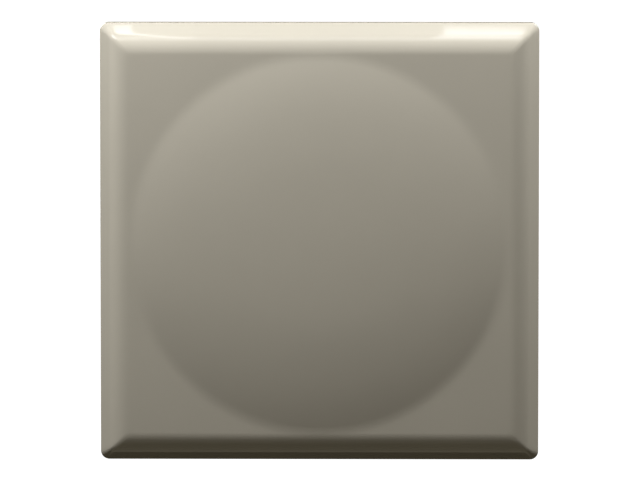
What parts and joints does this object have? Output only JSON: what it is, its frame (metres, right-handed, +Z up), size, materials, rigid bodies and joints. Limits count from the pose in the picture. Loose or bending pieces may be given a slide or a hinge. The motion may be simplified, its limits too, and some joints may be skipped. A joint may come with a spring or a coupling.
{
  "type": "flat panel antenna",
  "caption": "Square flat-panel antenna: a bevelled plastic radome with a shallow round dome over a stacked patch on an aluminium back plate with rear studs and a threaded RF jack.",
  "frame": {"origin": "centre of the four-stud pattern on the back plate's rear face, which is the mounting plane", "axes": "+X across the panel, to the right seen from the front; +Y backwards, out of the rear face along the studs and the RF port; +Z up; the domed front faces -Y"},
  "size_m": [0.259, 0.0527, 0.259],
  "materials": {
    "radome_plastic": "glossy warm light grey moulding",
    "plate_aluminium": "chromated, brushed",
    "patch_aluminium": "mill finish",
    "seal_rubber": "matte",
    "screw_steel": "stainless",
    "brass": "turned",
    "nickel_plating": "nickel plated brass",
    "gold_plating": "gold plated contact",
    "white_dielectric": "waxy white",
    "board_laminate": "satin solder mask",
    "copper": "etched copper",
    "resistor_ceramic": "matte",
    "solder": "bright",
    "nylon": "natural nylon",
    "black_plastic": "fine moulded texture",
    "label_film": "satin polyester film",
    "black_ink": "matte decal"
  },
  "bodies": {
    "root": {"radome": "radome_plastic", "radome_inserts": "brass", "radome_gasket": "seal_rubber", "back_plate": "plate_aluminium", "cover_screws": "screw_steel", "cover_washers": "seal_rubber", "mounting_studs": "screw_steel", "feed_board": "board_laminate", "feed_tracks": "copper", "load_resistor": "resistor_ceramic", "board_screws": "screw_steel", "driven_patch": "patch_aluminium", "feed_probes": "brass", "probe_nuts": "brass", "patch_spacers": "nylon", "director_spacers": "nylon", "director_disc": "patch_aluminium", "director_screws": "nylon", "centre_post": "patch_aluminium", "post_screw": "screw_steel", "flush_screws": "screw_steel", "port_body": "nickel_plating", "port_insulator": "white_dielectric", "port_contact": "gold_plating", "port_gasket": "seal_rubber", "port_screws": "screw_steel", "solder_joints": "solder", "vent_plug": "black_plastic", "vent_membrane": "white_dielectric", "vent_seal": "seal_rubber", "rear_label": "label_film", "up_arrow": "black_ink"}
  },
  "joints": []
}
